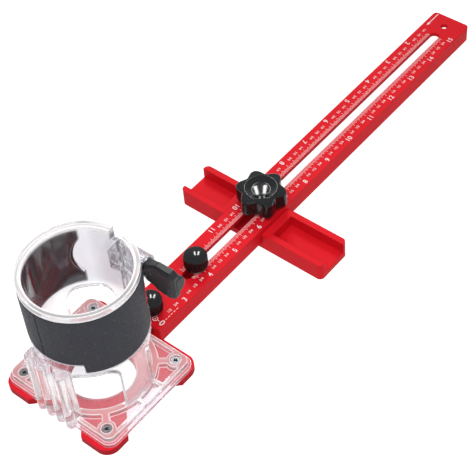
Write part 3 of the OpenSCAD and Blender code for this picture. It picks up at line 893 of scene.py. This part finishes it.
@dataclass
class StarKnob:
    """The six-lobed black knob that clamps the fence, with a round dish in its top."""

    black: Material
    steel: Material
    brass: Material
    axis_x: float = 163.0
    foot_z: float = 18.2
    radius: float = 17.5
    hollow: float = 4.0
    lobes: int = 6
    turn_deg: float = -6.0
    hub_r: float = 8.5
    hub_h: float = 1.2
    hub_ease: Steps = ((0.6, 0.0), (0.0, 0.6))
    under_ease: Steps = ((0.8, 0.0), (0.25, 0.25), (0.0, 0.8))
    rise: float = 14.6
    dome_r: float = 110.0
    fillet: float = 1.8
    shoulder: float = 1.62
    dish_r: float = 11.0
    dish_h: float = 1.8
    dish_border: float = 0.5
    lip_ease: Steps = ((-0.35, 0.05), (0.0, 0.15), (0.4, 0.05), (0.9, -0.25))
    floor_r: float = 6.4
    floor_dome_r: float = 60.0
    floor_ease: Steps = ((-0.8, 0.35), (-0.3, 0.12))
    columns: int = 241
    hub_rows: int = 14
    wall_rows: int = 10
    bend_rows: int = 9
    top_rows: int = 8
    floor_rows: int = 16
    sharp_deg: float = 50.0

    def dome(self, radius: np.ndarray) -> np.ndarray:
        """Return the height of the domed top at a distance from the axis."""
        return self.rise - self.dome_r + np.sqrt(self.dome_r ** 2 - radius ** 2)

    def dish(self) -> np.ndarray:
        """Return the dish's profile from its rounded lip to its middle.

        The lip rolls over a small bead into a straight slope, which meets a floor that is a low dome.

        Returns:
            Array of shape (n, 2), read as (radius, height over the foot).
        """
        lip = float(self.dome(np.array(self.dish_r)))
        floor = lip - self.dish_h
        radius = np.linspace(self.floor_r, 0.0, self.floor_rows)
        arc = np.sqrt(self.floor_dome_r ** 2 - radius ** 2)
        slope = [eased(self.dish_r, lip, self.lip_ease), eased(self.floor_r, floor, self.floor_ease)]
        return np.concatenate([*slope, np.stack([radius, floor + arc - arc[0]], -1)])

    def build(self) -> None:
        """Build the knob and dress its insert, washer and bolt.

        The outline's radius swings once a lobe. Rows run out under the hub, up the wall, over a quarter round
        and in across the top, each row a share of the outline, and down into the dish.
        """
        angle = np.linspace(0.0, FULL_TURN, self.columns)
        swing = self.hollow / 2.0
        beat = np.cos(self.lobes * (angle - math.radians(self.turn_deg)))
        rim = (self.radius - swing + swing * beat)[None, :]
        flat = np.ones_like(rim)
        bottom = [[[0.0, 0.0]], eased(self.hub_r, 0.0, self.hub_ease), [[self.hub_r, self.hub_h]]]
        hub = resample(np.concatenate(bottom), self.hub_rows)
        under = np.array(self.under_ease)
        foot = self.hub_h + under[-1, 1]
        shoulder = self.dome(rim) - self.shoulder
        climb = np.linspace(0.0, 1.0, self.wall_rows)[1:, None]
        bend = np.linspace(0.0, math.pi / 2.0, self.bend_rows)[1:, None]
        round_r = rim - self.fillet * (1.0 - np.cos(bend))
        inward = np.linspace(0.0, 1.0, self.top_rows)[1:-1, None]
        top_r = (rim - self.fillet) * (1.0 - inward) + (self.dish_r + self.dish_border) * inward
        dish = self.dish()
        pairs = (
            (hub[:, :1] * flat, hub[:, 1:] * flat),
            ((self.hub_r + rim - under[0, 0]) / 2.0, self.hub_h * flat),
            (rim - under[:, :1], (self.hub_h + under[:, 1:]) * flat),
            (rim * np.ones_like(climb), foot + climb * (shoulder - foot)),
            (round_r, shoulder + (self.dome(round_r) - shoulder) * np.sin(bend)),
            (top_r, self.dome(top_r)),
            (dish[:, :1] * flat, dish[:, 1:] * flat))
        radius, level = (np.concatenate(rows) for rows in zip(*pairs))
        along, across = self.axis_x + radius * np.cos(angle), radius * np.sin(angle)
        points = np.stack([along, across, self.foot_z + level], -1)
        piece = surface("star_grip", points, self.sharp_deg)
        fasten(piece, "star_handle", self.black, ("star_knob",))
        dress(self.brass, "star_insert")
        dress(self.steel, "star_washer", "fence_bolt")


@dataclass
class Fence:
    """The red cross channel that slides on the arm."""

    red: Material

    def build(self) -> None:
        """Dress the channel."""
        dress(self.red, "fence")


@dataclass
class RulerArm:
    """The slotted red bar with its printed inch scales."""

    red: Material
    ink: Material
    top_z: float = 17.0
    ink_lift: float = 0.04
    slot_x: Pair = (85.1, 370.6)
    slot_r: float = 3.5
    right_zero_x: float = -7.64
    left_zero_x: float = 403.3
    right_numbers: tuple[int, int] = (3, 15)
    left_numbers: tuple[int, int] = (2, 11)
    number_h: float = 3.7
    number_y: float = 11.8
    fractions: tuple[tuple[float, str], ...] = ((0.25, "1/4"), (0.5, "1/2"), (0.75, "3/4"))
    fraction_h: float = 1.9
    fraction_y: float = 9.9
    fraction_x: Pair = (52.0, 384.0)
    size_per_height: float = 1.4
    boldness: float = 0.008
    letter_steps: int = 3
    scale_inches: int = 16
    ticks_per_inch: int = 32
    tick_gap: float = 0.15
    tick_half_w: float = 0.09
    tick_l: float = 2.5
    longer_ticks: tuple[tuple[int, float], ...] = ((4, 0.7), (8, 0.7), (32, 0.6))
    centre: Pair = (45.6, -6.9)
    centre_r: Pair = (1.35, 1.8)
    centre_steps: int = 32
    dot_half: Pair = (0.4, 0.4)
    stem_y: float = -9.6
    stem_half: Pair = (0.22, 0.5)
    zero_y: float = -12.6
    zero_h: float = 4.4
    dash_x: tuple[float, float, float] = (49.5, 62.0, 2.6)
    dash_y: float = -12.8
    dash_half: Pair = (0.75, 0.18)
    arrow_tip: Pair = (377.5, 11.6)
    arrow_shaft: Steps = ((15.7, -0.34), (15.7, 0.34), (3.2, 0.34), (3.2, -0.34))
    arrow_head: Steps = ((3.6, 1.1), (0.0, 0.0), (3.6, -1.1), (3.0, 0.0))

    def build(self) -> None:
        """Dress the bar and add its print."""
        dress(self.red, "ruler_bar")
        for side in Side:
            self.ticks(side)
            self.numbers(side)
        self.near_marks()
        self.arrow()

    def printed(self, name: str, flat: np.ndarray, faces: np.ndarray) -> None:
        """Print flat points and faces on the bar, a hair over its top.

        Args:
            name: Name of the piece.
            flat: Array of shape (n, 2), along and across the bar.
            faces: Index array with three or four columns.
        """
        points = np.column_stack([flat, np.full(len(flat), self.top_z + self.ink_lift)])
        fasten(skin(name, points, faces), "base", self.ink)

    def quads(self, name: str, middle: np.ndarray, half: np.ndarray) -> None:
        """Print upright rectangles: each corner is the middle plus or minus the half sizes.

        Args:
            name: Name of the piece.
            middle: Array of shape (n, 2), along and across the bar.
            half: Array of shape (n, 2) of half sizes.
        """
        corner = np.array([[-1, -1], [1, -1], [1, 1], [-1, 1]], float)
        flat = (middle[:, None, :] + corner * half[:, None, :]).reshape(-1, 2)
        self.printed(name, flat, np.arange(len(flat)).reshape(-1, 4))

    def scale_x(self, side: Side, inches: np.ndarray | float) -> np.ndarray | float:
        """Return the place along the bar of inch values on one side's scale."""
        zero, step = (self.right_zero_x, INCH) if side is Side.RIGHT else (self.left_zero_x, -INCH)
        return zero + step * inches

    def ticks(self, side: Side) -> None:
        """Print the tick marks on the slot's edge, each longer at a larger fraction of the inch.

        Args:
            side: Side of the slot.
        """
        step = np.arange(self.scale_inches * self.ticks_per_inch)
        x = self.scale_x(side, step / self.ticks_per_inch)
        inside = (x > self.slot_x[0]) & (x < self.slot_x[1])
        step, x = step[inside], x[inside]
        length = np.full(len(x), self.tick_l)
        for every, extra in self.longer_ticks:
            length = length + extra * (step % every == 0)
        y = side.value * (self.slot_r + self.tick_gap + length / 2.0)
        half = np.stack([np.full_like(x, self.tick_half_w), length / 2.0], -1)
        self.quads(f"scale_ticks_{side.name.lower()}", np.stack([x, y], -1), half)

    def letters(self, text: str, height: float) -> tuple[np.ndarray, np.ndarray]:
        """Set a short label in the built-in face, centred on zero.

        Args:
            text: The label.
            height: Height of its letters.

        Returns:
            Flat points and triangles.
        """
        curve = bpy.data.curves.new("label", "FONT")
        curve.body = text
        curve.size = height * MM * self.size_per_height
        curve.offset = height * MM * self.boldness
        curve.resolution_u = self.letter_steps
        curve.align_x = curve.align_y = "CENTER"
        holder = bpy.data.objects.new("label", curve)
        bpy.context.scene.collection.objects.link(holder)
        bpy.context.view_layer.update()
        mesh = bpy.data.meshes.new_from_object(holder.evaluated_get(bpy.context.evaluated_depsgraph_get()))
        mesh.calc_loop_triangles()
        points = np.empty(len(mesh.vertices) * 3)
        mesh.vertices.foreach_get("co", points)
        triangles = np.empty(len(mesh.loop_triangles) * 3, int)
        mesh.loop_triangles.foreach_get("vertices", triangles)
        bpy.data.objects.remove(holder)
        bpy.data.curves.remove(curve)
        bpy.data.meshes.remove(mesh)
        flat = points.reshape(-1, 3)[:, :2] / MM
        return flat - (flat.min(0) + flat.max(0)) / 2.0, triangles.reshape(-1, 3)

    def words(self, name: str, labels: list[tuple[str, float, float, float]], turn: float) -> None:
        """Print short labels on the bar as one piece.

        Args:
            name: Name of the piece.
            labels: Text, middle along the bar, middle across it, and height.
            turn: Turn of the labels about Z, in radians.
        """
        cos, sin = math.cos(turn), math.sin(turn)
        spots, faces, count = [], [], 0
        for text, x, y, height in labels:
            flat, triangles = self.letters(text, height)
            spots.append(flat @ np.array([[cos, sin], [-sin, cos]]) + (x, y))
            faces.append(triangles + count)
            count += len(flat)
        self.printed(name, np.concatenate(spots), np.concatenate(faces))

    def numbers(self, side: Side) -> None:
        """Print the inch numbers of one side, with a quarter, a half and three quarters between them.

        Args:
            side: Side of the bar.
        """
        right = side is Side.RIGHT
        first, last = self.right_numbers if right else self.left_numbers
        number_y, fraction_y = side.value * self.number_y, side.value * self.fraction_y
        labels = [(str(n), self.scale_x(side, n), number_y, self.number_h) for n in range(first, last + 1)]
        parts = [(word, self.scale_x(side, n + share))
                 for n in range(first - 1, last) for share, word in self.fractions]
        labels += [(word, x, fraction_y, self.fraction_h) for word, x in parts
                   if self.fraction_x[0] < x < self.fraction_x[1]]
        self.words(f"scale_numbers_{side.name.lower()}", labels, 0.0 if right else math.pi)

    def near_marks(self) -> None:
        """Print the centre mark, its zero and the row of dashes at the router's end of the bar.

        The ring joins points on two circles: middle + radius * (cos(angle), sin(angle)).
        """
        angle = np.linspace(0.0, FULL_TURN, self.centre_steps + 1)
        ring = np.stack([np.cos(angle), np.sin(angle)], -1)
        flat = np.concatenate([np.array(self.centre) + radius * ring for radius in self.centre_r])
        inner = np.arange(self.centre_steps)
        outer = inner + self.centre_steps + 1
        self.printed("centre_ring", flat, np.stack([inner + 1, outer + 1, outer, inner], -1))
        x, y = self.centre
        self.words("zero_mark", [("0", x, self.zero_y, self.zero_h)], -math.pi / 2.0)
        dashes = [(place, self.dash_y, *self.dash_half) for place in np.arange(*self.dash_x)]
        marks = np.array([*dashes, (x, y, *self.dot_half), (x, self.stem_y, *self.stem_half)])
        self.quads("near_dashes", marks[:, :2], marks[:, 2:])

    def arrow(self) -> None:
        """Print the arrow at the far end, a shaft and a notched head, each set out from the tip."""
        flat = np.array(self.arrow_tip) + np.array(self.arrow_shaft + self.arrow_head)
        self.printed("end_arrow", flat, np.arange(len(flat)).reshape(-1, 4))


@dataclass(frozen=True)
class Lamp:
    """A soft box of the studio, in metres and watts, that faces the middle of the part."""

    name: str
    place: Place
    size: Pair
    power: float
    role: LampRole
    aim: Place = (0.14, 0.0, 0.03)

    def hang(self) -> None:
        """Hang the lamp in the scene."""
        data = bpy.data.lights.new(self.name, "AREA")
        data.shape = "RECTANGLE"
        data.size, data.size_y = self.size
        data.energy = self.power
        lamp = bpy.data.objects.new(self.name, data)
        lamp.location = self.place
        lamp.rotation_euler = (Vector(self.aim) - Vector(self.place)).to_track_quat("-Z", "Y").to_euler()
        lamp.visible_diffuse = self.role is not LampRole.SHINE
        lamp.visible_glossy = self.role is not LampRole.LIGHT
        bpy.context.scene.collection.objects.link(lamp)


@dataclass
class Studio:
    """The pale floor, the soft lights and the camera."""

    floor_half: float = 4000.0
    floor_points: int = 9
    floor_z: float = -0.05
    floor_sharp_deg: float = 40.0
    sky_seen: float = 0.85
    sky_light: float = 0.42
    lamps: tuple[Lamp, ...] = (
        Lamp("top_box", (-0.02, -0.18, 0.66), (0.7, 0.7), 4.3, LampRole.LIGHT),
        Lamp("front_box", (-1.0, -0.7, 0.9), (0.9, 0.9), 3.4, LampRole.BOTH),
        Lamp("panel_left", (0.7514, 0.6728, 1.03), (0.07, 0.36), 3.4, LampRole.SHINE),
        Lamp("panel_right", (0.8886, 0.5272, 1.03), (0.07, 0.36), 3.4, LampRole.SHINE))
    lens_px: float = 1390.43
    image_px: float = 470.0
    sensor: float = 36.0
    clip_m: Pair = (0.05, 50.0)
    azimuth: float = -46.70
    elevation: float = 48.37
    roll: float = -5.71
    target: Place = (140.71, 6.88, 0.0)
    distance: float = 941.27

    def build(self) -> None:
        """Set the floor, the light and the camera."""
        self.floor()
        self.sky()
        for lamp in self.lamps:
            lamp.hang()
        self.camera()

    def floor(self) -> None:
        """Lay a wide flat floor just under the part."""
        reach = np.linspace(-self.floor_half, self.floor_half, self.floor_points)
        level = np.full((self.floor_points,) * 2, self.floor_z)
        points = np.stack([*np.meshgrid(reach, reach, indexing="ij"), level], -1)
        ground = surface("studio_floor", points, self.floor_sharp_deg, close=False)
        ground.data.materials.append(PaleFloor().material())

    def sky(self) -> None:
        """Set an even white sky, which is seen brighter than it lights."""
        world = bpy.data.worlds.new("studio_world")
        world.use_nodes = True
        tree = world.node_tree
        path = tree.nodes.new("ShaderNodeLightPath")
        bright = tree.nodes.new("ShaderNodeMapRange")
        bright.inputs["To Min"].default_value = self.sky_seen
        bright.inputs["To Max"].default_value = self.sky_light
        tree.links.new(path.outputs["Is Diffuse Ray"], bright.inputs["Value"])
        tree.links.new(bright.outputs["Result"], tree.nodes["Background"].inputs["Strength"])
        tree.nodes["Background"].inputs["Color"].default_value = WHITE
        bpy.context.scene.world = world
        bpy.context.scene.view_settings.view_transform = "Standard"

    def camera(self) -> None:
        """Place the camera that the photograph was fitted with."""
        turn, tilt, roll = (math.radians(value) for value in (self.azimuth, self.elevation, self.roll))
        back = Vector((math.sin(turn) * math.cos(tilt), -math.cos(turn) * math.cos(tilt), math.sin(tilt)))
        side = (-back).cross(Vector((0.0, 0.0, 1.0))).normalized()
        up = side.cross(-back)
        right = math.cos(roll) * side + math.sin(roll) * up
        over = -math.sin(roll) * side + math.cos(roll) * up
        data = bpy.data.cameras.new("photo_camera")
        data.sensor_width = self.sensor
        data.lens = self.lens_px / self.image_px * self.sensor
        data.clip_start, data.clip_end = self.clip_m
        camera = bpy.data.objects.new("photo_camera", data)
        place = (Vector(self.target) + self.distance * back) * MM
        axes = Matrix((right, over, back)).transposed().to_4x4()
        camera.matrix_world = Matrix.Translation(place) @ axes
        bpy.context.scene.collection.objects.link(camera)
        bpy.context.scene.camera = camera


def main() -> None:
    """Build the sub-assemblies in order."""
    logging.basicConfig(level=logging.INFO, format="%(name)s: %(message)s")
    red = Anodised().material()
    # The plate's top face is painted lit and its sides are painted in shade.
    plate = Anodised("red_plate", (0.42, 0.006, 0.013), (0.76, 0.014, 0.030), metallic=0.05,
                     top_m=0.005).material()
    black = MouldedBlack().material()
    charcoal = MouldedBlack("moulded_charcoal", (0.013, 0.0135, 0.015), (0.022, 0.023, 0.025), (0.30, 0.42),
                            relief=(0.10, 0.05)).material()
    steel = TurnedMetal("plated_steel", (0.30, 0.31, 0.33), (0.48, 0.49, 0.51)).material()
    dark_steel = TurnedMetal("dark_steel", (0.10, 0.10, 0.11), (0.20, 0.20, 0.21)).material()
    brass = TurnedMetal("turned_brass", (0.52, 0.36, 0.12), (0.78, 0.58, 0.25)).material()
    Studio().build()
    RouterBase(plate, ClearMoulding().material(), steel, dark_steel).build()
    sleeves = GripSleeves(DottedRubber().material())
    for side in Side:
        sleeves.build(side)
    WingKnob(charcoal, steel).build()
    for word, axis_x in KNURLED_X.items():
        KnurledKnob(black, steel, word, axis_x).build()
    RulerArm(red, ScreenPrint().material()).build()
    Fence(red).build()
    StarKnob(black, steel, brass).build()


if __name__ == "__main__":
    main()
